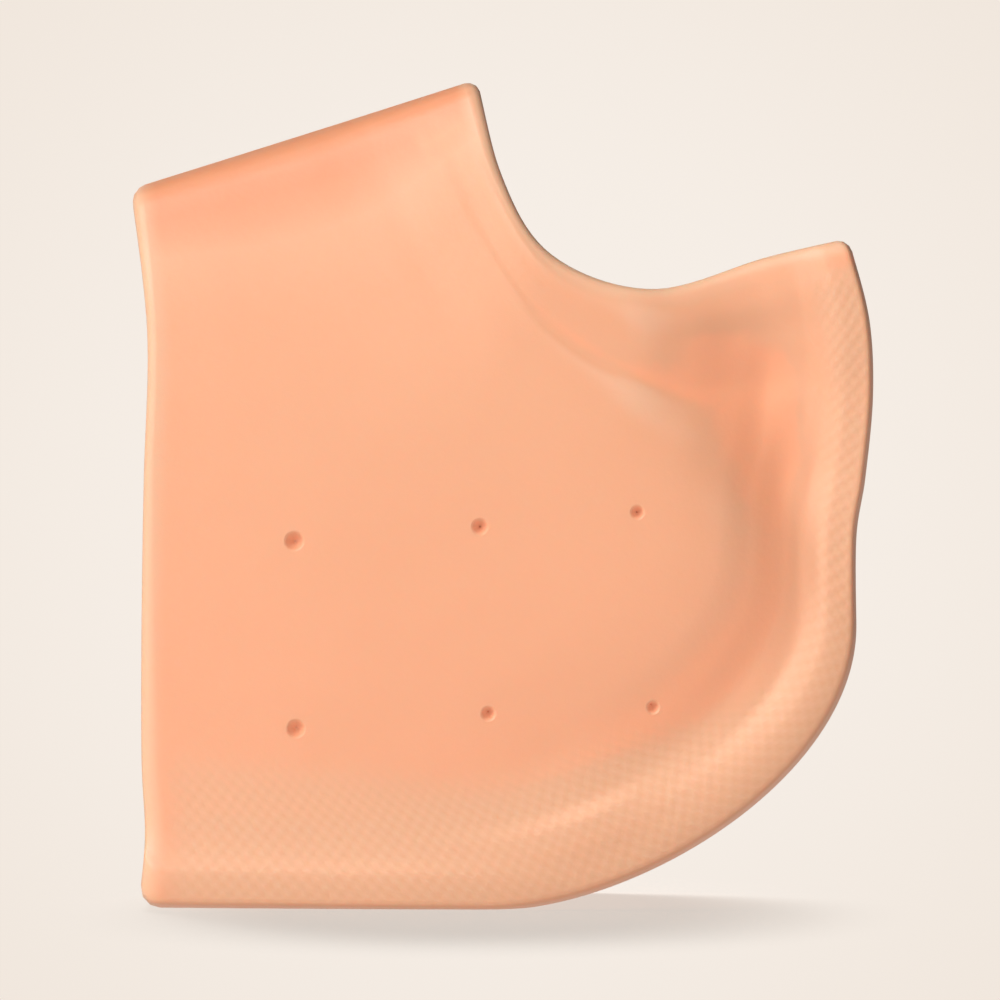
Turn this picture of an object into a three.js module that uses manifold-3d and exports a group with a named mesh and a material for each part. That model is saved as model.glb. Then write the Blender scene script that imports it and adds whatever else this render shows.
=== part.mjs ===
import * as THREE from 'three';
import { mergeVertices } from 'three/addons/utils/BufferGeometryUtils.js';
import Module from 'manifold-3d';

// A silicone heel sleeve, moulded in one piece, standing on its sole. Millimetres, +Z up.
// The foot goes in at -X, the heel sits at +X and the ankle comes out on top.
// The two side walls mirror each other across Y = 0.

// Walls
const wall = 2.2; // side walls and instep
const foldTurn = 12; // degrees from a fold to where the side wall has its full thickness
const soleSag = 0.9; // how far the soft sole flattens on the floor

// Heights in the side view are measured from the sole before it flattens.
// Corners of the side view, where the two folds meet the lips of the two openings
const toeTop = new THREE.Vector2(-48.4, 97.4);
const toeSole = new THREE.Vector2(-45.9, 0.4);
const ankleFront = new THREE.Vector2(-5.6, 110.9);
const ankleBack = new THREE.Vector2(46.5, 88.2);

// Lip of the foot opening: nearly straight, with a small ear where it meets each fold
const footLip = [
  { x: -46.3, z: 78 },
  { x: -46.7, z: 58 },
  { x: -46.6, z: 39 },
  { x: -46.0, z: 20 },
  { x: -45.1, z: 10 },
];

// Lip of the ankle opening: down under the ankle bone and up again to the Achilles
const ankleLip = [
  { x: -1.4, z: 97.4 },
  { x: 6.0, z: 86.5 },
  { x: 19.5, z: 81.9 },
  { x: 35.0, z: 85.9 },
];

// Sole fold: a straight sole, one round curve for the heel, and the back up the Achilles
const heelStart = new THREE.Vector2(-2, 0);
const heelBack = new THREE.Vector2(47.1, 38);
const heelPull = 20; // how far the heel's curve runs on along the sole, and up the back
const back = [
  { x: 47.1, z: 50 },
  { x: 48.3, z: 58 },
  { x: 49.3, z: 69 },
  { x: 48.8, z: 79 },
];

// Half-width of each section at fixed turns, in degrees from the instep fold (0) to the sole fold (180).
// The section's place runs from the foot opening (0) to the ankle opening (1), and its last column is
// the thickness of the pad that wraps the sole, heel and Achilles.
const turns = {
  fold: 15,
  band: 30,
  upper: 52,
  side: 75,
  flank: 96,
  brink: 108,
  slope: 119,
  dip: 128,
  valley: 137,
  start: 142,
  rise: 147,
  crest: 152,
  sole: 168,
};
const columns = ['place', ...Object.keys(turns), 'pad'];
const sections = [
  [0.00, 14.6, 16.6, 19.0, 19.7, 19.9, 19.9, 20.0, 20.2, 20.5, 20.7, 21.1, 21.8, 21.4, 5.0],
  [0.18, 14.6, 16.6, 19.2, 20.3, 20.5, 20.3, 20.2, 20.3, 20.5, 20.7, 21.1, 21.8, 21.4, 5.0],
  [0.38, 14.6, 16.6, 19.3, 20.7, 20.9, 20.6, 20.0, 19.6, 19.7, 20.5, 20.5, 20.3, 19.7, 4.8],
  [0.47, 14.6, 16.6, 19.3, 20.8, 21.0, 20.8, 20.2, 19.4, 18.8, 19.2, 19.7, 19.8, 19.3, 4.2],
  [0.58, 14.5, 16.5, 19.3, 20.8, 21.0, 20.9, 20.4, 19.2, 17.9, 17.9, 18.7, 19.1, 18.6, 3.4],
  [0.66, 14.5, 16.5, 19.2, 20.8, 21.0, 20.9, 20.4, 19.1, 17.5, 17.1, 17.5, 17.9, 17.9, 2.9],
  [0.72, 14.6, 16.6, 19.2, 20.8, 21.0, 20.9, 20.3, 18.8, 17.1, 16.6, 16.6, 16.9, 17.3, 2.7],
  [0.80, 14.7, 16.8, 19.2, 20.8, 21.0, 20.6, 19.0, 17.1, 15.7, 15.3, 15.6, 16.5, 16.9, 2.5],
  [0.88, 14.9, 17.0, 18.9, 20.1, 20.1, 18.9, 16.7, 15.5, 15.3, 15.4, 16.1, 17.0, 17.2, 2.4],
  [0.93, 15.0, 17.1, 19.1, 20.3, 20.3, 19.0, 17.2, 16.6, 16.5, 16.7, 17.2, 17.8, 17.9, 2.3],
  [0.97, 15.1, 17.2, 19.3, 20.7, 20.7, 19.3, 18.0, 17.6, 17.5, 17.6, 17.8, 18.1, 18.1, 2.2],
  [1.00, 15.2, 17.3, 19.2, 20.4, 20.3, 18.9, 17.7, 17.3, 17.2, 17.3, 17.5, 17.7, 17.6, 2.2],
].map((row) => Object.fromEntries(columns.map((name, k) => [name, row[k]])));

// Vent holes in the side view, two rows of three, drilled through both walls; smaller towards the heel
const vents = [
  { x: -27.9, z: 49.7, diameter: 2.0 },
  { x: -3.4, z: 51.6, diameter: 1.6 },
  { x: 17.4, z: 53.5, diameter: 1.3 },
  { x: -27.7, z: 24.9, diameter: 1.9 },
  { x: -2.3, z: 26.9, diameter: 1.4 },
  { x: 19.5, z: 27.7, diameter: 1.2 },
];

// Facets
const pointsAround = 68;
const crowding = 0.45; // how much closer together the points of a ring lie at the sole fold
const sectionCount = 32;
const lipSteps = 3;
const lipInset = 0.01; // how far inside an opening its direction is taken
const ventSides = 10;

// The four curves that bound the side view
const toVector = ({ x, z }) => new THREE.Vector2(x, z);
const instepFold = new THREE.LineCurve(toeTop, ankleFront);
const footOpening = new THREE.SplineCurve([toeTop, ...footLip.map(toVector), toeSole]);
const ankleOpening = new THREE.SplineCurve([ankleFront, ...ankleLip.map(toVector), ankleBack]);
const soleFold = new THREE.CurvePath();
soleFold.add(new THREE.LineCurve(toeSole, heelStart));
soleFold.add(new THREE.CubicBezierCurve(
  heelStart,
  new THREE.Vector2(heelStart.x + heelPull, heelStart.y),
  new THREE.Vector2(heelBack.x, heelBack.y - heelPull),
  heelBack,
));
soleFold.add(new THREE.SplineCurve([heelBack, ...back.map(toVector), ankleBack]));

// A point of the side view: across runs from the instep fold to the sole fold, along from the foot
// opening to the ankle opening. The four curves are blended over the area between them.
function sidePoint(across, along) {
  return new THREE.Vector2()
    .addScaledVector(footOpening.getPointAt(across), 1 - along)
    .addScaledVector(ankleOpening.getPointAt(across), along)
    .addScaledVector(instepFold.getPointAt(along), 1 - across)
    .addScaledVector(soleFold.getPointAt(along), across)
    .addScaledVector(toeTop, -(1 - across) * (1 - along))
    .addScaledVector(ankleFront, -(1 - across) * along)
    .addScaledVector(toeSole, -across * (1 - along))
    .addScaledVector(ankleBack, -across * along);
}

// Smooth curve through values at uneven places, which never swings past a value: each slope is a mean
// of the steps on either side, and it is level where the values turn back
function smoothThrough(places, values, place) {
  const last = places.length - 1;
  let k = 1;
  while (k < last && place > places[k]) k += 1;
  const gap = (i) => places[i + 1] - places[i];
  const step = (i) => (values[i + 1] - values[i]) / gap(i);
  const slope = (i) => {
    if (i === 0) return step(0);
    if (i === last) return step(last - 1);
    const before = step(i - 1);
    const after = step(i);
    if (before * after <= 0) return 0;
    const near = 2 * gap(i) + gap(i - 1);
    const far = gap(i) + 2 * gap(i - 1);
    return (near + far) / (near / before + far / after);
  };
  const span = places[k] - places[k - 1];
  const t = (place - places[k - 1]) / span;
  const u = 1 - t;
  const start = values[k - 1] * (1 + 2 * t) + slope(k - 1) * span * t;
  const end = values[k] * (1 + 2 * u) - slope(k) * span * u;
  return start * u * u + end * t * t;
}

// One column of the table, anywhere along the sleeve
function column(name, along) {
  return smoothThrough(sections.map((row) => row.place), sections.map((row) => row[name]), along);
}

// Half-width at a turn of a section: nothing on the folds, and mirrored past them so that the two
// walls run into each other smoothly
const turnPlaces = Object.values(turns);
const foldedPlaces = [-turnPlaces[0], 0, ...turnPlaces, 180, 360 - turnPlaces.at(-1)];
function halfWidth(turn, along) {
  const widths = Object.keys(turns).map((name) => column(name, along));
  return smoothThrough(foldedPlaces, [-widths[0], 0, ...widths, 0, -widths.at(-1)], turn);
}

function acrossAt(turn) {
  return (1 - Math.cos(THREE.MathUtils.degToRad(turn))) / 2;
}

// A turn goes once round, down the near wall to the sole fold and up the far one. This gives how far
// it is from the instep fold, on either wall, and which way that wall faces.
function unfold(turn) {
  const round = THREE.MathUtils.euclideanModulo(turn, 360);
  return round > 180 ? { folded: 360 - round, facing: 1 } : { folded: round, facing: -1 };
}

// Outer skin
function skin(turn, along) {
  const { folded, facing } = unfold(turn);
  const side = sidePoint(acrossAt(folded), along);
  return new THREE.Vector3(side.x, facing * halfWidth(folded, along), side.y - soleSag);
}

// Inner skin: in from the instep by the wall, in from the sole by the pad, and in from both sides
function core(turn, along) {
  const { folded, facing } = unfold(turn);
  const length = instepFold.getPointAt(along).distanceTo(soleFold.getPointAt(along));
  const across = THREE.MathUtils.lerp(wall / length, 1 - column('pad', along) / length, acrossAt(folded));
  const side = sidePoint(across, along);
  const share = THREE.MathUtils.smoothstep(Math.min(folded, 180 - folded), 0, foldTurn);
  const width = halfWidth(folded, along) - wall * share;
  return new THREE.Vector3(side.x, facing * width, side.y - soleSag);
}

// Turn of the i-th point of a ring
function turnOf(i) {
  const half = (2 * i) / pointsAround;
  return 180 * (half + (crowding * Math.sin(Math.PI * half)) / Math.PI);
}

// One ring of points, with what would sink into the floor flattened on it
function ring(pointAt) {
  return Array.from({ length: pointsAround }, (_, i) => {
    const point = pointAt(turnOf(i));
    point.z = Math.max(point.z, 0);
    return point;
  });
}

// A lip goes out round the opening from the outer skin to the inner one, in half a circle
function lip(along, inside) {
  return Array.from({ length: lipSteps - 1 }, (_, i) => {
    const angle = (Math.PI * (i + 1)) / lipSteps;
    return ring((turn) => {
      const outer = skin(turn, along);
      const inner = core(turn, along);
      const outwards = outer.clone().sub(skin(turn, inside)).normalize();
      const radius = outer.distanceTo(inner) / 2;
      return outer.lerp(inner, (1 - Math.cos(angle)) / 2)
        .addScaledVector(outwards, radius * Math.sin(angle));
    });
  });
}

// The closed wall: along the outer skin, round the ankle's lip, back along the inner skin and round
// the foot's lip
function wallGeometry() {
  const places = Array.from({ length: sectionCount + 1 }, (_, i) => i / sectionCount);
  const rings = [
    ...places.map((along) => ring((turn) => skin(turn, along))),
    ...lip(1, 1 - lipInset),
    ...places.toReversed().map((along) => ring((turn) => core(turn, along))),
    ...lip(0, lipInset).toReversed(),
  ];
  const index = [];
  rings.forEach((_, r) => {
    const here = r * pointsAround;
    const next = ((r + 1) % rings.length) * pointsAround;
    for (let i = 0; i < pointsAround; i += 1) {
      const j = (i + 1) % pointsAround;
      index.push(here + i, here + j, next + j, here + i, next + j, next + i);
    }
  });
  return new THREE.BufferGeometry().setFromPoints(rings.flat()).setIndex(index);
}

// A peg that drills one vent square through the wall, where a line from that side first meets it
const wellOutside = 100;
function ventPeg(blank, { x, z, diameter }, side) {
  const from = new THREE.Vector3(x, side * wellOutside, z - soleSag);
  const hit = new THREE.Raycaster(from, new THREE.Vector3(0, -side, 0)).intersectObject(blank)[0];
  const peg = new THREE.CylinderGeometry(diameter / 2, diameter / 2, 4 * wall, ventSides);
  const turned = new THREE.Quaternion().setFromUnitVectors(new THREE.Vector3(0, 1, 0), hit.face.normal);
  peg.applyQuaternion(turned);
  return peg.translate(hit.point.x, hit.point.y, hit.point.z);
}

const wasm = await Module();
wasm.setup();

function toSolid(geometry) {
  const bare = geometry.clone();
  bare.deleteAttribute('normal');
  bare.deleteAttribute('uv');
  const { attributes, index } = mergeVertices(bare);
  return new wasm.Manifold(new wasm.Mesh({
    numProp: 3,
    vertProperties: new Float32Array(attributes.position.array),
    triVerts: new Uint32Array(index.array),
  }));
}

function toGeometry(solid) {
  const { vertProperties, triVerts } = solid.getMesh();
  const geometry = new THREE.BufferGeometry();
  geometry.setAttribute('position', new THREE.BufferAttribute(vertProperties, 3));
  geometry.setIndex(new THREE.BufferAttribute(triVerts, 1));
  geometry.computeVertexNormals();
  return geometry;
}

const silicone = new THREE.MeshStandardMaterial({ color: 0xf6ad86, roughness: 0.5, metalness: 0 });

function makeSleeve() {
  const blank = new THREE.Mesh(wallGeometry(), silicone);
  const pegs = vents.flatMap((vent) => [ventPeg(blank, vent, -1), ventPeg(blank, vent, 1)]);
  const drilled = pegs.reduce((solid, peg) => solid.subtract(toSolid(peg)), toSolid(blank.geometry));
  const sleeve = new THREE.Mesh(toGeometry(drilled), silicone);
  sleeve.name = 'sleeve';
  return sleeve;
}

const heelSleeve = new THREE.Group();
heelSleeve.add(makeSleeve());

export default heelSleeve;
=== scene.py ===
# %% [markdown]
# # A silicone heel sleeve
# The sleeve is a short sock of soft silicone, moulded in one piece. The foot goes in on the left, the
# heel sits in the round corner on the right and the ankle comes out on top. The packed part is loaded
# first as a fixed frame.

# %% The frame
import math

import bmesh
import bpy
import numpy as np
from mathutils import Matrix, Vector
from mathutils.bvhtree import BVHTree


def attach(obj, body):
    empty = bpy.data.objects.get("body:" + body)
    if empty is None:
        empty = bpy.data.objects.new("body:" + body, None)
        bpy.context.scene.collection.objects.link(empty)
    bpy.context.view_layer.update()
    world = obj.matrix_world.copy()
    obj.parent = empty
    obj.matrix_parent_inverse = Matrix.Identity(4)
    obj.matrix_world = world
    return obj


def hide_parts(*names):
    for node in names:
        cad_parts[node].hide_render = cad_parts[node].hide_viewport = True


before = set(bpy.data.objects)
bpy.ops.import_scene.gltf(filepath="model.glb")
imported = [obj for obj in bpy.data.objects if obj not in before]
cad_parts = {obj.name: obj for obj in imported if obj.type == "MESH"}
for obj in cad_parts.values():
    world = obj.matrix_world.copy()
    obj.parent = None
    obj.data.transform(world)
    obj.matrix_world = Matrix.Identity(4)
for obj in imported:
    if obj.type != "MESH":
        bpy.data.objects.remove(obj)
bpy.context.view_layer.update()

# %% [markdown]
# ## The side view
# Seen from the side the sleeve lies between four curves: the fold over the instep, the fold under the
# sole and round the heel, and the lips of the two openings. It could be drawn by hand as a patch of
# faces, but four short curves are easier to change, and every point between them follows by blending.
# Sizes are in millimetres until they become a mesh. Heights are measured from the sole before its own
# weight flattens it on the floor.

# %% The four curves
MM = 0.001
SOLE_SAG = 0.9

TOE_TOP = (-48.4, 97.4)
TOE_SOLE = (-45.9, 0.4)
ANKLE_FRONT = (-5.6, 110.9)
ANKLE_BACK = (46.5, 88.2)
FOOT_LIP = [(-46.3, 78), (-46.7, 58), (-46.6, 39), (-46.0, 20), (-45.1, 10)]
ANKLE_LIP = [(-1.4, 97.4), (6.0, 86.5), (19.5, 81.9), (35.0, 85.9)]
HEEL_START = (-2, 0)
HEEL_BACK = (47.1, 38)
HEEL_PULL = 20
ACHILLES = [(47.1, 50), (48.3, 58), (49.3, 69), (48.8, 79)]


def spline(points, steps=40):
    """A smooth line through the points, as many short straight steps."""
    p = np.array([points[0], *points, points[-1]], float)
    t = np.linspace(0, 1, steps, endpoint=False)[:, None]
    spans = []
    for before, a, b, after in zip(p, p[1:], p[2:], p[3:]):
        leave, arrive = (b - before) / 2, (after - a) / 2
        square = 3 * (b - a) - 2 * leave - arrive
        cube = 2 * (a - b) + leave + arrive
        spans.append(a + leave * t + square * t**2 + cube * t**3)
    return np.concatenate([*spans, p[-1:]])


def bezier(a, b, c, d, steps=80):
    """A curve from a to d that leaves towards b and arrives from c."""
    a, b, c, d = (np.array(x, float) for x in (a, b, c, d))
    t = np.linspace(0, 1, steps)[:, None]
    return a * (1 - t) ** 3 + 3 * b * t * (1 - t) ** 2 + 3 * c * t**2 * (1 - t) + d * t**3


def lengths_along(line):
    """How far along a line each of its points lies."""
    return np.insert(np.cumsum(np.linalg.norm(np.diff(line, axis=0), axis=-1), axis=0), 0, 0, axis=0)


def walk(line, share):
    """The points at these shares of a line's length."""
    lengths = lengths_along(line)
    wanted = np.asarray(share) * lengths[-1]
    return np.stack([np.interp(wanted, lengths, line[:, k]) for k in (0, 1)], -1)


instep_fold = np.array([TOE_TOP, ANKLE_FRONT], float)
foot_opening = spline([TOE_TOP, *FOOT_LIP, TOE_SOLE])
ankle_opening = spline([ANKLE_FRONT, *ANKLE_LIP, ANKLE_BACK])
heel_curve = bezier(
    HEEL_START,
    (HEEL_START[0] + HEEL_PULL, HEEL_START[1]),
    (HEEL_BACK[0], HEEL_BACK[1] - HEEL_PULL),
    HEEL_BACK,
)
sole_fold = np.concatenate([[TOE_SOLE], heel_curve, spline([HEEL_BACK, *ACHILLES, ANKLE_BACK])[1:]])
for name, line in (("instep", instep_fold), ("sole", sole_fold)):
    print(name, "fold:", round(lengths_along(line)[-1]), "mm")


# %% Points between the curves
def side_point(across, along):
    """A point of the side view: across runs from the instep to the sole, along from the foot's
    opening to the ankle's. The four curves are blended, and the corners, counted twice, come off."""
    s, t = np.asarray(across)[..., None], np.asarray(along)[..., None]
    curves = walk(foot_opening, across) * (1 - t) + walk(ankle_opening, across) * t
    curves = curves + walk(instep_fold, along) * (1 - s) + walk(sole_fold, along) * s
    corners = np.array(TOE_TOP) * (1 - s) * (1 - t) + np.array(ANKLE_FRONT) * (1 - s) * t
    return curves - corners - np.array(TOE_SOLE) * s * (1 - t) - np.array(ANKLE_BACK) * s * t


print("middle of the side view:", np.round(side_point(0.5, 0.5), 1), "mm")

# %% [markdown]
# ## The relief of the walls
# Cut across, the sleeve is a tall ring: narrow over the instep, wide and nearly flat on the sides, drawn
# in along a hollow and out again on the ridge that frames the sole and heel. A short table gives the
# half-width at a few turns round that ring, from the instep fold (0 degrees) to the sole fold (180), for
# a few sections from the foot's opening (0) to the ankle's (1). One smooth curve runs through each row
# and column. The last column is the thickness of the pad under the sole and behind the heel.

# %% The sections
WALL = 2.2
FOLD_TURN = 12
TURNS = (15, 30, 52, 75, 96, 108, 119, 128, 137, 142, 147, 152, 165)
SECTIONS = [
    # place, fold, band, upper, side, flank, brink, slope, dip, valley, start, rise, crest, sole, pad
    (0.00, 14.6, 16.6, 19.0, 19.7, 19.9, 19.9, 20.0, 20.2, 20.5, 20.7, 21.1, 21.8, 21.4, 5.0),
    (0.18, 14.6, 16.6, 19.2, 20.3, 20.5, 20.3, 20.2, 20.3, 20.5, 20.7, 21.1, 21.8, 21.4, 5.0),
    (0.38, 14.6, 16.6, 19.3, 20.7, 20.9, 20.6, 20.0, 19.6, 19.7, 20.5, 20.5, 20.3, 19.7, 4.8),
    (0.47, 14.6, 16.6, 19.3, 20.8, 21.0, 20.8, 20.2, 19.4, 18.8, 19.2, 19.7, 19.8, 19.2, 4.2),
    (0.58, 14.5, 16.5, 19.3, 20.8, 21.0, 20.9, 20.4, 19.2, 17.9, 17.9, 18.7, 19.1, 18.5, 3.4),
    (0.66, 14.5, 16.5, 19.2, 20.8, 21.0, 20.9, 20.4, 19.1, 17.5, 17.1, 17.5, 17.9, 17.5, 2.9),
    (0.72, 14.6, 16.6, 19.2, 20.8, 21.0, 20.9, 20.3, 18.8, 17.1, 16.6, 16.6, 16.9, 16.8, 2.7),
    (0.80, 14.7, 16.8, 19.2, 20.8, 21.0, 20.5, 18.8, 16.8, 15.6, 15.6, 16.1, 16.7, 16.9, 2.5),
    (0.84, 14.8, 16.9, 19.2, 20.8, 21.0, 19.8, 17.7, 16.1, 15.7, 15.9, 16.5, 17.0, 17.1, 2.5),
    (0.88, 14.9, 17.0, 19.1, 20.6, 20.3, 18.8, 16.7, 15.6, 15.9, 16.4, 17.0, 17.3, 17.3, 2.4),
    (0.93, 15.0, 17.1, 19.2, 20.6, 20.4, 19.0, 17.2, 16.7, 17.0, 17.4, 17.8, 18.0, 17.9, 2.3),
    (0.97, 15.1, 17.2, 19.3, 20.7, 20.6, 19.3, 18.0, 17.6, 17.6, 17.8, 18.0, 18.2, 18.1, 2.2),
    (1.00, 15.2, 17.3, 19.2, 20.4, 20.3, 18.9, 17.7, 17.3, 17.2, 17.3, 17.5, 17.7, 17.6, 2.2),
]


def smooth_through(places, values, place):
    """A smooth curve through rows of values at uneven places, which never swings past a value."""
    places, values = np.asarray(places, float), np.asarray(values, float)
    gaps = np.diff(places)[:, None]
    steps = np.diff(values, axis=0) / gaps
    slopes = np.zeros_like(values)
    slopes[0], slopes[-1] = steps[0], steps[-1]
    before, after = steps[:-1], steps[1:]
    goes_on = before * after > 0
    near, far = 2 * gaps[1:] + gaps[:-1], gaps[1:] + 2 * gaps[:-1]
    total = np.where(goes_on, near * after + far * before, 1)
    slopes[1:-1] = np.where(goes_on, (near + far) * before * after / total, 0)
    k = np.clip(np.searchsorted(places, place), 1, len(places) - 1)
    span = gaps[k - 1]
    t = (np.asarray(place) - places[k - 1])[:, None] / span
    start = values[k - 1] * (1 + 2 * t) + slopes[k - 1] * span * t
    end = values[k] * (3 - 2 * t) - slopes[k] * span * (1 - t)
    return start * (1 - t) ** 2 + end * t**2


def table_at(along):
    """The table's widths at each turn, and the pad, at these places along the sleeve."""
    table = np.array(SECTIONS)
    found = smooth_through(table[:, 0], table[:, 1:], along)
    return found[:, :-1], found[:, -1]


def half_width(turn, along):
    """Half the ring's width, for each place along (rows) at each turn (columns): nothing on the
    folds, and mirrored past them, so that the two walls run into each other smoothly."""
    widths, _ = table_at(along)
    on_fold = np.zeros((len(along), 1))
    folded = np.hstack([-widths[:, :1], on_fold, widths, on_fold, -widths[:, -1:]])
    places = [-TURNS[0], 0, *TURNS, 180, 360 - TURNS[-1]]
    return smooth_through(places, folded.T, turn).T


print("widest:", 2 * max(max(row[1:-1]) for row in SECTIONS), "mm, from", len(SECTIONS), "sections")

# %% [markdown]
# ## Two skins and two lips
# The wall has an outer skin and an inner one. Solidify would push the inner skin along the normals, which
# folds over itself where the ridge is tight, so the inner skin is worked out the same way as the outer
# one: in from the instep by the wall, in from the sole by the pad and in from the side. At each opening
# the two skins meet in a half-round lip.


# %% The skins
def across_at(turn):
    return (1 - np.cos(np.radians(turn))) / 2


def outer_skin(turn, along):
    """Points of the outer skin of the near wall, a row for each place along and a column for each turn."""
    across, places = np.meshgrid(across_at(turn), along)
    side = side_point(across, places)
    return np.stack([side[..., 0], -half_width(turn, along), side[..., 1] - SOLE_SAG], -1)


def inner_skin(turn, along):
    """The same for the inner skin."""
    _, pad = table_at(along)
    height = np.linalg.norm(walk(instep_fold, along) - walk(sole_fold, along), axis=1)
    top, bottom = (WALL / height)[:, None], (1 - pad / height)[:, None]
    across = top + (bottom - top) * across_at(turn)
    side = side_point(across, np.broadcast_to(np.asarray(along)[:, None], across.shape))
    share = np.clip(np.minimum(turn, 180 - turn) / FOLD_TURN, 0, 1)
    width = half_width(turn, along) - WALL * share**2 * (3 - 2 * share)
    return np.stack([side[..., 0], -width, side[..., 1] - SOLE_SAG], -1)


LIP_INSET = 0.01


def lip(turn, along, steps):
    """Half a circle from the outer skin round to the inner one, at the opening at this place along."""
    inside = LIP_INSET if along == 0 else 1 - LIP_INSET
    outer, inner = outer_skin(turn, np.array([along])), inner_skin(turn, np.array([along]))
    outwards = outer - outer_skin(turn, np.array([inside]))
    outwards /= np.linalg.norm(outwards, axis=-1, keepdims=True)
    radius = np.linalg.norm(inner - outer, axis=-1, keepdims=True) / 2
    angle = (np.pi * np.arange(1, steps) / steps)[:, None, None]
    return outer + (inner - outer) * (1 - np.cos(angle)) / 2 + outwards * radius * np.sin(angle)


gap = outer_skin(np.array([90]), np.array([0.5])) - inner_skin(np.array([90]), np.array([0.5]))
print("wall in the middle of a side:", round(np.linalg.norm(gap), 1), "mm")

# %% [markdown]
# ## Where the rows lie
# The mould has left a fine grip pattern of small studs on the ridge, the heel and the lower wall. It
# needs a vertex every half millimetre, and the plain wall above it does not. So the rows are spread
# evenly over the plain part of one section, and evenly but closer over its gripping part.

# %% Rows and columns
GRIP_TURN = 120
PLAIN_ROWS = 44
GRIP_ROWS = 80
ROWS = PLAIN_ROWS + GRIP_ROWS
OUTER_COLUMNS = 300
INNER_COLUMNS = 40
LIP_STEPS = 6

fine_turns = np.linspace(0, 180, 721)
section_lengths = lengths_along(outer_skin(fine_turns, np.array([0.3]))[0])
plain_length = np.interp(GRIP_TURN, fine_turns, section_lengths)
row_lengths = np.concatenate([
    np.linspace(0, plain_length, PLAIN_ROWS, endpoint=False),
    np.linspace(plain_length, section_lengths[-1], GRIP_ROWS + 1),
])
turns = np.interp(row_lengths, section_lengths, fine_turns)
outward_places = np.linspace(0, 1, OUTER_COLUMNS + 1)
inward_places = np.linspace(1, 0, INNER_COLUMNS + 1)
print("rows:", round(plain_length / PLAIN_ROWS, 2), "mm apart, on the grip",
      round((section_lengths[-1] - plain_length) / GRIP_ROWS, 2), "mm")

# %% [markdown]
# ## From a flat sheet to a sleeve
# The near wall starts as a flat grid. Its rows run round the ring from the instep to the sole, and its
# columns run along the outer skin, round the ankle's lip, back along the inner skin and round the foot's
# lip to where they started. Rolling the grid up means giving each vertex its place on the wall.

# %% The wall's points
wall = np.concatenate([
    outer_skin(turns, outward_places),
    lip(turns, 1, LIP_STEPS),
    inner_skin(turns, inward_places),
    lip(turns, 0, LIP_STEPS)[::-1],
    outer_skin(turns, outward_places[:1]),
])
wall[..., 2] = np.maximum(wall[..., 2], 0)
columns = len(wall) - 1

round_lengths = lengths_along(wall)
ankle_crest = OUTER_COLUMNS + LIP_STEPS // 2
foot_crest = columns - LIP_STEPS // 2
from_lip = np.minimum.reduce([
    np.abs(round_lengths - round_lengths[ankle_crest]),
    np.abs(round_lengths - round_lengths[foot_crest]),
    round_lengths + round_lengths[-1] - round_lengths[foot_crest],
])
print("one way round the wall, over both lips:", np.round(round_lengths[-1][[0, -1]]), "mm")

# %% [markdown]
# ## The grip
# The studs of the grip stand in staggered rows about 1.5 mm apart. They are real relief, a sixth of a
# millimetre deep, and not only shading. A product of two waves over the grid's rows and columns gives the
# pattern, and it fades out towards the plain wall, the lips and the sole's fold. It only goes into the
# wall, so the sleeve's size stays.

# %% The depth of the grip
GRIP_DEPTH = 0.16
GRIP_START = [(0, 121), (0.45, 124), (0.6, 137), (0.75, 142), (1, 138)]
GRIP_FADE = 12
GRIP_END = (168, 160)
LIP_CLEAR = (3, 8)


def ease(value, start, end):
    """From 0 at start to 1 at end, with a soft start and end."""
    share = np.clip((value - start) / (end - start), 0, 1)
    return share**2 * (3 - 2 * share)


grip_start = np.interp(outward_places, *zip(*GRIP_START))[:, None]
column_wave = np.cos(np.pi / 2 * np.arange(OUTER_COLUMNS + 1))[:, None]
row_wave = np.cos(np.pi / 2 * (ROWS - np.arange(ROWS + 1)))
on_grip = ease(turns, grip_start, grip_start + GRIP_FADE) * ease(turns, *GRIP_END)
on_grip *= ease(from_lip[:OUTER_COLUMNS + 1], *LIP_CLEAR)
grip = np.zeros(wall.shape[:2])
grip[:OUTER_COLUMNS + 1] = -GRIP_DEPTH * on_grip * (1 - column_wave * row_wave) / 2
print("deepest point of the grip:", round(grip.min(), 3), "mm")

# %% [markdown]
# ## What the material needs to know
# Soft silicone lets light into it. A raised edge looks paler, and a slope that falls away from the key lamp
# into a hollow is lit through the wall and looks redder. Rendering all that light would be slow and noisy,
# so the model notes for each point how far it stands out from the wall around it, and the material paints
# that
# light into the colour: a painted highlight on raised edges and painted red shade on those slopes. It also
# notes how near a point is to a lip, for a painted sheen, and to the instep, for painted shade, and where
# the grip is and how deep, for a painted highlight and painted shade in the pits. All these shares are 0 on
# a plain wall, which is also what a new vertex of a hole gets later on.

# %% The shares
REACH = 6
LIT_THROUGH = 5
RELIEF_TURNS = (40, 160)
RAISED = (0.1, 0.85)
COLLAR = (0.78, 0.82)
COLLAR_TURNS = (113, 100)
HOLLOW = (0.0, 0.6)
LIP_BAND = (0.8, 4.5)
INSTEP_BAND = (21, 27)


def spread(places, reach):
    """Weights that give each place the mean of the places around it."""
    near = np.exp(-(((places[:, None] - places) / reach) ** 2)) * np.gradient(places)
    return near / near.sum(1, keepdims=True)


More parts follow.
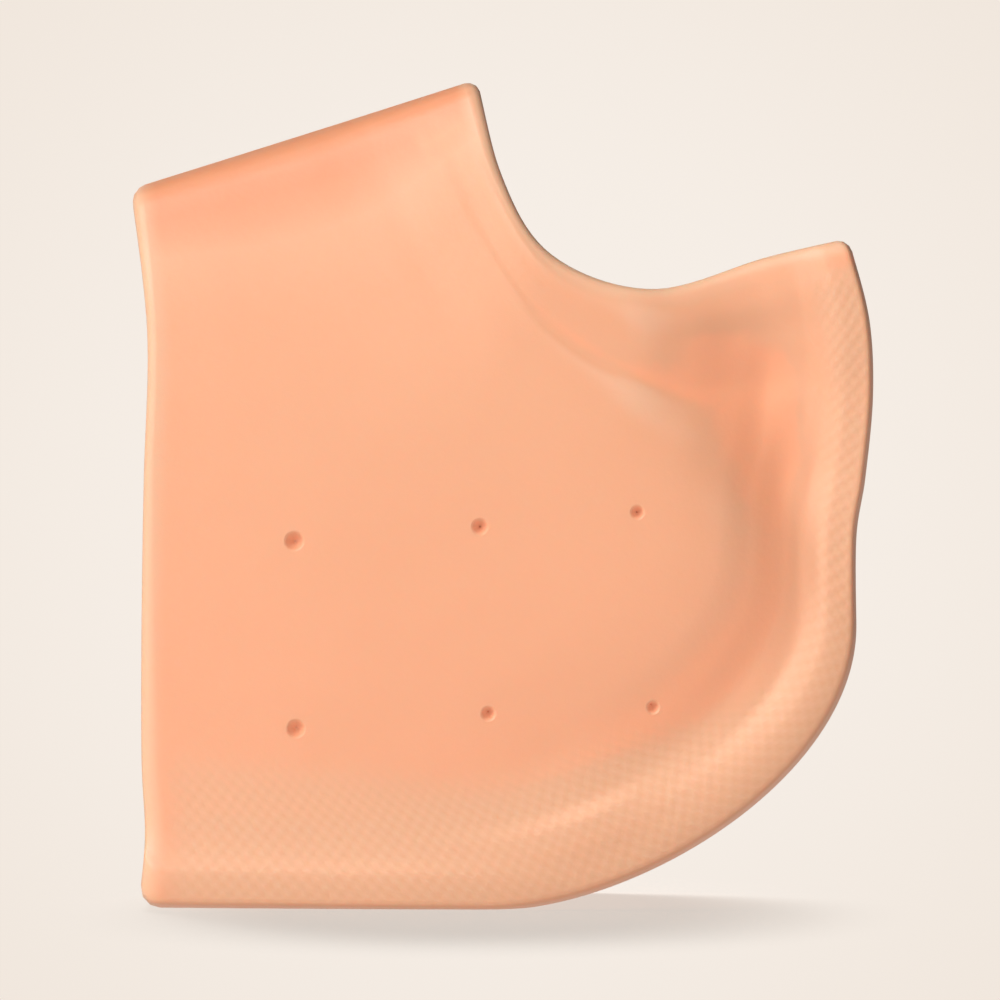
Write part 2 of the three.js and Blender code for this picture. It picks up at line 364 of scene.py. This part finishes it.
outer = slice(0, OUTER_COLUMNS + 1)
widths = half_width(np.clip(turns, *RELIEF_TURNS), outward_places)
place_lengths = outward_places * np.median(round_lengths[OUTER_COLUMNS])
stands_out = widths - spread(place_lengths, REACH) @ widths @ spread(row_lengths, REACH).T
shares = {name: np.zeros(wall.shape[:2]) for name in ("raised", "hollow", "lip", "instep", "grip", "pit")}
on_collar = ease(outward_places, *COLLAR)[:, None]
# Painted highlight on raised edges, made stronger on the ankle's collar.
collar_boost = 1 + 2 * on_collar * ease(turns, *COLLAR_TURNS)
shares["raised"][outer] = ease(collar_boost * stands_out, *RAISED)
# Painted red shade, moved LIT_THROUGH millimetres towards the instep, onto the slope that faces away from
# the key lamp.
falls_away = np.array([np.interp(row_lengths + LIT_THROUGH, row_lengths, line) for line in -stands_out])
shares["hollow"][outer] = ease((1 + on_collar) * falls_away, *HOLLOW)
# Painted sheen along the lips.
shares["lip"][:] = 1 - ease(from_lip, *LIP_BAND)
# Painted shade on the band along the instep fold.
shares["instep"][:] = 1 - ease(row_lengths, *INSTEP_BAND)
# The grip's share carries a painted highlight in the colour, and a rougher finish.
shares["grip"][outer] = on_grip
# Painted shade, deepest in the pits of the grip.
shares["pit"][:] = -grip / GRIP_DEPTH
print("stands out by", round(stands_out.min(), 2), "to", round(stands_out.max(), 2), "mm")

# %% The sheet
bm = bmesh.new()
depth_layer = bm.verts.layers.float.new("depth")
share_layers = {name: bm.verts.layers.float.new(name) for name in shares}
bm.faces.layers.float.new("vent")
bmesh.ops.create_grid(bm, x_segments=columns, y_segments=ROWS, size=1)
for vert in bm.verts:
    column = round((vert.co.x + 1) / 2 * columns)
    row = round((vert.co.y + 1) / 2 * ROWS)
    vert.co = Vector(wall[column, row]) * MM
    vert[depth_layer] = grip[column, row]
    for name, layer in share_layers.items():
        vert[layer] = shares[name][column, row]
print("flat sheet:", columns, "columns by", ROWS, "rows")

# %% [markdown]
# ## The far wall
# The sleeve fits either foot, so its far wall is the mirror image of the near one. Mirror makes it, and
# merging the doubles closes every seam. Only then do the normals point reliably outwards, and the grip
# can be pressed in along them.

# %% Mirror and press
bmesh.ops.mirror(bm, geom=bm.verts[:] + bm.edges[:] + bm.faces[:], axis="Y", merge_dist=1e-6)
bmesh.ops.remove_doubles(bm, verts=bm.verts, dist=1e-6)
bmesh.ops.recalc_face_normals(bm, faces=bm.faces)
bm.normal_update()
pressed = [(vert, vert.co + vert.normal * vert[depth_layer] * MM) for vert in bm.verts]
for vert, place in pressed:
    vert.co = place
for face in bm.faces:
    face.smooth = True
open_edges = [edge for edge in bm.edges if not edge.is_manifold]
print("sleeve:", len(bm.faces), "faces,", len(open_edges), "open edges")

sleeve_mesh = bpy.data.meshes.new("heel_sleeve")
bm.to_mesh(sleeve_mesh)
skin_tree = BVHTree.FromBMesh(bm)
bm.free()
sleeve = bpy.data.objects.new("heel_sleeve", sleeve_mesh)
bpy.context.scene.collection.objects.link(sleeve)

# %% [markdown]
# ## The vents
# Six small holes in each wall let the skin breathe. They could be faces deleted by hand, but the grid has
# no circles. So a peg is spun for each hole, with a flared end that leaves a rounded rim, it is set
# square on the wall where a ray from the side meets it, and one Boolean takes all pegs out of the sleeve.
# The edges round the holes are then marked sharp, or the smooth shading of the wall would be pulled into
# them.

# %% Pegs for the vents
VENTS = [
    # place in the side view, diameter
    (-27.9, 49.7, 2.2), (-3.4, 51.6, 1.8), (17.4, 53.5, 1.5),
    (-27.7, 24.9, 2.1), (-2.3, 26.9, 1.6), (19.5, 27.7, 1.4),
]
RIM = 0.3
TAPER = 0.15
PEG_SIDES = 20


def peg_profile(radius):
    """Half a peg, from its axis inside to its axis outside, as radius and height. It narrows inwards."""
    arc = [(radius + RIM * (1 - math.cos(a)), RIM * (math.sin(a) - 1)) for a in np.radians([0, 30, 60, 85])]
    tip = [(0, -2 * WALL), (TAPER * radius, -2 * WALL), (TAPER * radius, -WALL)]
    return [*tip, *arc, (radius + RIM, 1), (0, 1)]


def add_peg(bm, radius, matrix):
    """Spins one peg and sets it where the matrix says."""
    points = [bm.verts.new((r * MM, 0, h * MM)) for r, h in peg_profile(radius)]
    edges = [bm.edges.new(pair) for pair in zip(points, points[1:])]
    known = set(bm.verts) - set(points)
    bmesh.ops.spin(bm, geom=points + edges, axis=(0, 0, 1), cent=(0, 0, 0), angle=2 * math.pi,
                   steps=PEG_SIDES, use_merge=True)
    peg = [vert for vert in bm.verts if vert not in known]
    bmesh.ops.transform(bm, matrix=matrix, verts=peg)


bm = bmesh.new()
vent_layer = bm.faces.layers.float.new("vent")
for x, z, diameter in VENTS:
    for side in (-1, 1):
        start = Vector((x, side * 100, z - SOLE_SAG)) * MM
        hit, normal, _, _ = skin_tree.ray_cast(start, Vector((0, -side, 0)))
        upright = normal.to_track_quat("Z", "Y").to_matrix().to_4x4()
        add_peg(bm, diameter / 2, Matrix.Translation(hit) @ upright)
bmesh.ops.remove_doubles(bm, verts=bm.verts, dist=1e-7)
bmesh.ops.recalc_face_normals(bm, faces=bm.faces)
for face in bm.faces:
    face.smooth = True
    face[vent_layer] = 1
peg_mesh = bpy.data.meshes.new("vent_pegs")
bm.to_mesh(peg_mesh)
bm.free()
print("pegs:", len(peg_mesh.polygons), "faces")

# %% Drilling
pegs = bpy.data.objects.new("vent_pegs", peg_mesh)
bpy.context.scene.collection.objects.link(pegs)
drill = sleeve.modifiers.new("vents", "BOOLEAN")
drill.operation = "DIFFERENCE"
drill.solver = "EXACT"
drill.object = pegs
drilled = bpy.data.meshes.new_from_object(sleeve.evaluated_get(bpy.context.evaluated_depsgraph_get()))
sleeve.modifiers.clear()
sleeve.data = drilled
drilled.name = "heel_sleeve_drilled"
bpy.data.objects.remove(pegs)

bm = bmesh.new()
bm.from_mesh(drilled)
vent_layer = bm.faces.layers.float["vent"]
rims = [edge for edge in bm.edges if len({face[vent_layer] > 0.5 for face in edge.link_faces}) == 2]
for edge in rims:
    edge.smooth = False
bm.to_mesh(drilled)
bm.free()
drilled.calc_loop_triangles()
print("drilled sleeve:", len(drilled.loop_triangles), "triangles,", len(rims), "edges round the vents")

# %% [markdown]
# ## Shader maths
# A material is a tree of nodes. Sums are easier to read as sums than as boxes and links, so one small
# class wraps an output socket: adding or multiplying two of these wires adds a Math node to the tree.


# %% Wires
class Wire:
    """One value in a node tree. Arithmetic on it adds Math nodes to that tree."""

    def __init__(self, socket):
        self.socket = socket

    @staticmethod
    def node(tree, kind, settings={}, sockets={}, out=0):
        """Adds a node, feeds its sockets with wires or values, and returns one of its outputs."""
        made = tree.nodes.new("ShaderNode" + kind)
        for name, value in settings.items():
            setattr(made, name, value)
        for name, value in sockets.items():
            if isinstance(value, Wire):
                value.feed(made.inputs[name])
            else:
                made.inputs[name].default_value = value
        return Wire(made.outputs[out])

    def feed(self, socket):
        self.socket.id_data.links.new(self.socket, socket)

    def math(self, operation, a, b):
        return Wire.node(self.socket.id_data, "Math", {"operation": operation}, {0: a, 1: b})

    def __add__(self, other):
        return self.math("ADD", self, other)

    def __radd__(self, other):
        return self.math("ADD", other, self)

    def __sub__(self, other):
        return self.math("SUBTRACT", self, other)

    def __rsub__(self, other):
        return self.math("SUBTRACT", other, self)

    def __mul__(self, other):
        return self.math("MULTIPLY", self, other)

    def __rmul__(self, other):
        return self.math("MULTIPLY", other, self)

    def fade(self, start, end):
        """1 up to start and 0 from end on, with a soft start and end."""
        return Wire.node(self.socket.id_data, "MapRange", {"interpolation_type": "SMOOTHSTEP"},
                         {"Value": self, "From Min": start, "From Max": end, "To Min": 1, "To Max": 0})

    def blend(self, a, b):
        """Colour a where this wire is 0, and b where it is 1."""
        return Wire.node(self.socket.id_data, "Mix", {"data_type": "RGBA"},
                         {"Factor": self, "A": a, "B": b}, "Result")


print("a wire can:", ", ".join(name for name in vars(Wire) if not name.startswith("_")))

# %% [markdown]
# ## The colour of the silicone, and its painted light
# The sleeve is skin-coloured, with a faint random mottle. A single flat colour would look like painted
# plastic, and some light and shade would be slow and noisy to render, so they are painted into the colour:
# the low wall is painted pinker where the key lamp's light falls off, the turned-over instep gets painted
# orange shade, the studded band a painted highlight and the pits between the studs painted shade, raised
# edges a painted highlight, hollows painted red shade, the lips a painted beige sheen and the vents' faces
# painted dark red shade. So the plain peach is blended with one colour after another, each by the share
# that the mesh carries. Colours are linear red, green, blue and alpha.

# %% Colours
PEACH = (0.845, 0.415, 0.238, 1)
# Painted light: the low wall is painted pinker, to make up for the key lamp's light falling off towards the
# floor.
LOW_WALL_LIGHT = (0.90, 0.415, 0.238, 1)
MOTTLE = (0.84, 0.392, 0.220, 1)
# Painted shade on the band along the instep fold.
INSTEP_SHADE = (0.75, 0.295, 0.148, 1)
# Painted highlight: the studded band on the ridge and heel is painted lighter and more beige.
GRIP_HIGHLIGHT = (0.83, 0.450, 0.270, 1)
# Painted shade in the pits between the studs.
PIT_SHADE = (0.79, 0.395, 0.222, 1)
# Painted highlight on raised edges.
RAISED_HIGHLIGHT = (0.86, 0.468, 0.290, 1)
# Painted red shade on the slopes that fall away from the key lamp into a hollow.
RED = (0.98, 0.410, 0.225, 1)
# Painted sheen: the lips are painted lighter and more beige, for the light they catch at grazing angles.
LIP_SHEEN = (0.80, 0.490, 0.310, 1)
# Painted shade: the vents' own faces are painted dark red, under a painted glow.
VENT_SHADE = (0.62, 0.268, 0.150, 1)
PINK_HEIGHTS = (0.02, 0.08)
CLOUD_SCALE = 40

silicone = bpy.data.materials.new("silicone")
silicone.use_nodes = True
tree = silicone.node_tree
shader = tree.nodes["Principled BSDF"]
painted = {
    name: Wire.node(tree, "Attribute", {"attribute_name": name}, {}, "Fac")
    for name in (*shares, "vent")
}
place = Wire.node(tree, "TexCoord", out="Object")
height = Wire.node(tree, "SeparateXYZ", {}, {0: place}, "Z")
clouds = Wire.node(tree, "TexNoise", {}, {"Vector": place, "Scale": CLOUD_SCALE, "Detail": 2})

# Painted light: pinker towards the floor, where the key lamp's light falls off.
colour = height.fade(*PINK_HEIGHTS).blend(PEACH, LOW_WALL_LIGHT)
colour = (1.6 * clouds - 0.5).blend(colour, MOTTLE)
# Each tint below is painted light or shade.
for name, strength, tint in (
    ("instep", 0.9, INSTEP_SHADE),
    ("grip", 1.0, GRIP_HIGHLIGHT),
    ("raised", 1.0, RAISED_HIGHLIGHT),
    ("hollow", 1.0, RED),
    ("pit", 0.8, PIT_SHADE),
    ("lip", 0.8, LIP_SHEEN),
    ("vent", 1.0, VENT_SHADE),
):
    colour = (strength * painted[name]).blend(colour, tint)
colour.feed(shader.inputs["Base Color"])
print("colour nodes in the silicone:", len(tree.nodes))

# %% [markdown]
# ## The finish of the silicone
# Silicone from a mould is satin: it shines softly on the plain wall and less on the studs. A fine grain
# breaks up the highlights, and a little subsurface scattering lets red light travel in the wall. In the
# vents, light comes through the wall from all sides and they look reddish, not black. A faint glow on the
# holes' own faces stands in for that, and it is black everywhere else.

# %% The finish
GLOW = (0.26, 0.135, 0.080, 1)
BLACK = (0, 0, 0, 1)
SATIN = 0.46
STUDS_ROUGHER = 0.12
SCATTERED = 0.3
SCATTER_REACH = 0.002
SCATTER_COLOURS = (1.0, 0.35, 0.2)
GRAIN_SCALE = 1300
GRAIN_DEPTH = 0.0001

(SATIN + STUDS_ROUGHER * painted["grip"]).feed(shader.inputs["Roughness"])
painted["vent"].blend(BLACK, GLOW).feed(shader.inputs["Emission Color"])
shader.inputs["Emission Strength"].default_value = 1
shader.inputs["Subsurface Weight"].default_value = SCATTERED
shader.inputs["Subsurface Radius"].default_value = SCATTER_COLOURS
shader.inputs["Subsurface Scale"].default_value = SCATTER_REACH
grain = Wire.node(tree, "TexNoise", {}, {"Vector": place, "Scale": GRAIN_SCALE, "Detail": 2})
bump = Wire.node(tree, "Bump", {}, {"Height": grain, "Strength": 0.2, "Distance": GRAIN_DEPTH})
bump.feed(shader.inputs["Normal"])
sleeve.data.materials.clear()
sleeve.data.materials.append(silicone)

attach(sleeve, "root")
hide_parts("sleeve")
print("all nodes in the silicone:", len(tree.nodes))

# %% [markdown]
# ## The camera
# The photograph looks straight at the near wall from far away. A long lens a metre off does the same. The
# picture's scale and the spot where the frame's origin appears in it fix the lens and the aim, and half a
# degree of height keeps the camera above the floor.

# %% A long lens
PIXELS_PER_MM = 7.42
PHOTO_ORIGIN = (505.5, 901)
IMAGE = 1000
DISTANCE = 1.0
ELEVATION = 0.5

scene = bpy.context.scene
scene.view_settings.view_transform = "Standard"
camera_data = bpy.data.cameras.new("camera")
camera = bpy.data.objects.new("camera", camera_data)
scene.collection.objects.link(camera)
camera_data.lens = camera_data.sensor_width * DISTANCE / (IMAGE / PIXELS_PER_MM * MM)
aim = Vector((IMAGE / 2 - PHOTO_ORIGIN[0], 0, PHOTO_ORIGIN[1] - IMAGE / 2)) * MM / PIXELS_PER_MM
tilt = math.radians(ELEVATION)
view = Vector((0, math.cos(tilt), -math.sin(tilt)))
camera.location = aim - DISTANCE * view
camera.rotation_euler = view.to_track_quat("-Z", "Y").to_euler()
scene.camera = camera
print("lens:", round(camera_data.lens), "mm, height of the camera:", round(camera.location.z / MM), "mm")

# %% [markdown]
# ## The floor
# The sleeve stands on pale paper with one soft shadow under and before it, and the paper runs into the
# backdrop without a line. A bent paper sweep would need a large mesh and careful light. Here the floor is
# a flat disc that turns see-through away from the sleeve, in an oval as wide as the shadow. Diffuse rays
# don't see it, so the underside of the heel stays dark, as in the photograph. The paper has no shine,
# because from this low it would mirror the room, and the fade would show in it.

# %% A fading disc
PAPER = (0.61, 0.595, 0.565, 1)
COVER = 0.32
OVAL_CENTRE = (-0.004, -0.02, 0)
OVAL_STRETCH = (2.3, 1.4, 1)
OVAL_FADE = (0.055, 0.135)

bm = bmesh.new()
bmesh.ops.create_circle(bm, cap_ends=True, segments=64, radius=1)
floor_mesh = bpy.data.meshes.new("floor")
bm.to_mesh(floor_mesh)
bm.free()
floor = bpy.data.objects.new("floor", floor_mesh)
floor.visible_diffuse = False
scene.collection.objects.link(floor)

paper = bpy.data.materials.new("paper")
paper.use_nodes = True
tree = paper.node_tree
sheet = tree.nodes["Principled BSDF"]
sheet.inputs["Base Color"].default_value = PAPER
sheet.inputs["Specular IOR Level"].default_value = 0
place = Wire.node(tree, "TexCoord", out="Object")
off_centre = Wire.node(tree, "VectorMath", {"operation": "SUBTRACT"}, {0: place, 1: OVAL_CENTRE})
stretched = Wire.node(tree, "VectorMath", {"operation": "MULTIPLY"}, {0: off_centre, 1: OVAL_STRETCH})
radius = Wire.node(tree, "VectorMath", {"operation": "LENGTH"}, {0: stretched}, "Value")
(COVER * radius.fade(*OVAL_FADE)).feed(sheet.inputs["Alpha"])
floor.data.materials.append(paper)
reach = [round(OVAL_FADE[1] / stretch / MM) for stretch in OVAL_STRETCH[:2]]
print("the floor is gone", reach, "mm from the oval's centre")

# %% [markdown]
# ## The backdrop and the room
# The backdrop is cream, a little lighter in the middle. Only the camera sees it. What lights the sleeve
# is a pale room, bright above and dim below, so that surfaces that face the floor turn darker. Mix Shader
# nodes join the four backgrounds, by the direction of a ray and by whether it comes from the camera.

# %% World light
ROOM = (1.0, 0.97, 0.94, 1)
CREAM = (0.922, 0.855, 0.791, 1)
CORNER = (0.871, 0.791, 0.716, 1)
ABOVE = 0.73
BELOW = 0.1
HORIZON = (0.3, -0.5)
CORNER_FADE = (0.03, 0.115)

scene.world = bpy.data.worlds.new("studio")
scene.world.use_nodes = True
tree = scene.world.node_tree
direction = Wire.node(tree, "TexCoord", out="Generated")
upwards = Wire.node(tree, "SeparateXYZ", {}, {0: direction}, "Z")
above = Wire.node(tree, "Background", {}, {"Color": ROOM, "Strength": ABOVE})
below = Wire.node(tree, "Background", {}, {"Color": ROOM, "Strength": BELOW})
room = Wire.node(tree, "MixShader", {}, {"Fac": upwards.fade(*HORIZON), 1: above, 2: below})
off_axis = Wire.node(tree, "VectorMath", {"operation": "DISTANCE"}, {0: direction, 1: view}, "Value")
middle = Wire.node(tree, "Background", {}, {"Color": CREAM, "Strength": 1})
corner = Wire.node(tree, "Background", {}, {"Color": CORNER, "Strength": 1})
backdrop = Wire.node(tree, "MixShader", {}, {"Fac": off_axis.fade(*CORNER_FADE), 1: corner, 2: middle})
seen = Wire.node(tree, "LightPath", out="Is Camera Ray")
both = Wire.node(tree, "MixShader", {}, {"Fac": seen, 1: room, 2: backdrop})
both.feed(tree.nodes["World Output"].inputs["Surface"])
print("nodes in the world:", len(tree.nodes))

# %% [markdown]
# ## The lamps
# A large softbox at the front left models the relief: slopes that face it turn light, and the far side of
# the hollow falls into shade. A low one behind the sleeve keeps the far wall from going dull, and a high
# one behind it throws one soft shadow forwards. Light linking gives each lamp one thing to light, because
# the first two would double that shadow and the high one would burn out the instep's edge. The low lamp
# also stays out of reflections, where it would draw a white line along that edge.


# %% Three softboxes
def softbox(name, place, size, power):
    """A square lamp that looks at the middle of the sleeve, and that the camera doesn't see."""
    light = bpy.data.lights.new(name, "AREA")
    light.size = size
    light.energy = power
    lamp = bpy.data.objects.new(name, light)
    lamp.location = place
    lamp.rotation_euler = (aim - lamp.location).to_track_quat("-Z", "Y").to_euler()
    lamp.visible_camera = False
    scene.collection.objects.link(lamp)
    print(name, "light:", round((lamp.location - aim).length, 2), "m away")
    return lamp


def light_only(lamp, thing):
    """Links the lamp to a collection with this one thing in it."""
    lit = bpy.data.collections.new(lamp.name + "_lights")
    lit.objects.link(thing)
    lamp.light_linking.receiver_collection = lit


fill = softbox("fill", (-0.3, 2.0, 0.4), 1.6, 32)
fill.visible_glossy = False
light_only(fill, sleeve)
light_only(softbox("key", (-1.3, -1.6, 1.4), 2.2, 87), sleeve)
light_only(softbox("back", (-0.2, 1.6, 1.5), 1.2, 100), floor)

# %% [markdown]
